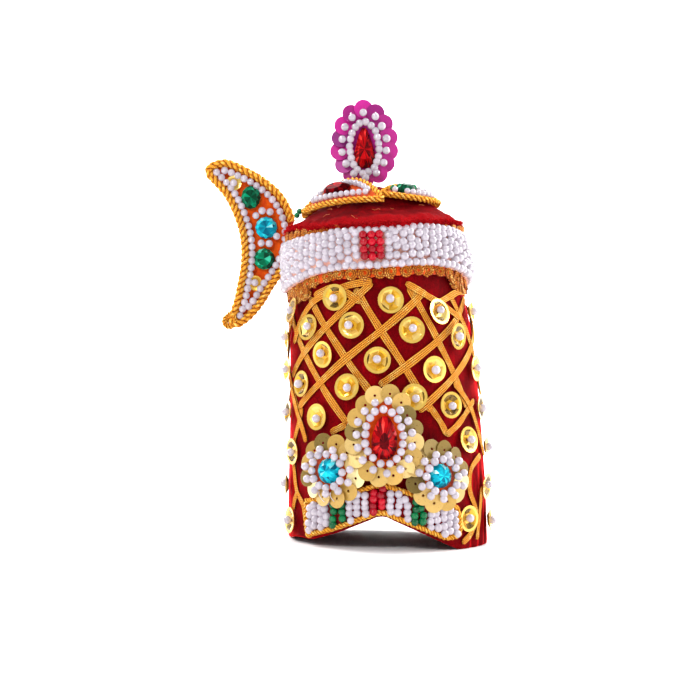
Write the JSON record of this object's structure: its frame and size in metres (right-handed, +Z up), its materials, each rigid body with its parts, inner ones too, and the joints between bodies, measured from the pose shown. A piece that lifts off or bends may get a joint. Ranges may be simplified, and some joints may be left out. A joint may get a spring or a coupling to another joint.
{
  "type": "deity crown",
  "caption": "Red velvet crown for a deity figure with a pearl band, gold lattice, jewelled flowers, a side crescent and a sequin plume; its front hem is notched.",
  "frame": {"origin": "middle of the hem plane, on the tube's axis at the hem", "axes": "+Z up along the crown, front with the notch faces -Y, +X to the wearer's left as seen from the front on the right, the crescent stands out on -X"},
  "size_m": [0.1019, 0.0759, 0.1486],
  "materials": {
    "velvet": "deep pile",
    "cap_velvet": "deep pile, raw edge",
    "pearl": "glossy, pearly",
    "red_bead": "glossy",
    "green_bead": "glossy",
    "gold_braid": "metallic thread",
    "magenta_sequin": "metallic film",
    "orange_felt": "matt felt",
    "gold_sequin": "metallic film",
    "red_stone": "faceted, foil backed",
    "green_stone": "faceted, foil backed",
    "aqua_stone": "faceted, foil backed"
  },
  "bodies": {
    "root": {"crown_body": "velvet", "velvet_cap": "cap_velvet", "pearl_band": "pearl", "red_patch": "red_bead", "lace_below_band": "gold_braid", "lace_above_band": "gold_braid", "gold_lattice": "gold_braid", "cup_sequins": "gold_sequin", "cup_pearls": "pearl", "panel_backing": "velvet", "panel_braid": "gold_braid", "panel_beads_white": "pearl", "panel_beads_green": "green_bead", "panel_beads_red": "red_bead", "flower_centre_felt": "orange_felt", "flower_centre_petals": "gold_sequin", "flower_centre_pearls": "pearl", "flower_centre_stone": "red_stone", "flower_left_felt": "orange_felt", "flower_left_petals": "gold_sequin", "flower_left_pearls": "pearl", "flower_left_stone": "aqua_stone", "flower_right_felt": "orange_felt", "flower_right_petals": "gold_sequin", "flower_right_pearls": "pearl", "flower_right_stone": "aqua_stone", "crescent_felt": "orange_felt", "crescent_braid": "gold_braid", "crescent_pearls": "pearl", "crescent_sequins": "gold_sequin", "crescent_upper_stone": "green_stone", "crescent_middle_stone": "aqua_stone", "crescent_lower_stone": "green_stone", "leaves_felt": "orange_felt", "leaves_braid": "gold_braid", "leaves_pearls": "pearl", "leaf_red_stones": "red_stone", "leaf_green_stones": "green_stone", "green_beads": "green_bead", "plume_felt": "magenta_sequin", "plume_petals": "magenta_sequin", "plume_pearls": "pearl", "plume_stone": "red_stone"}
  },
  "joints": []
}
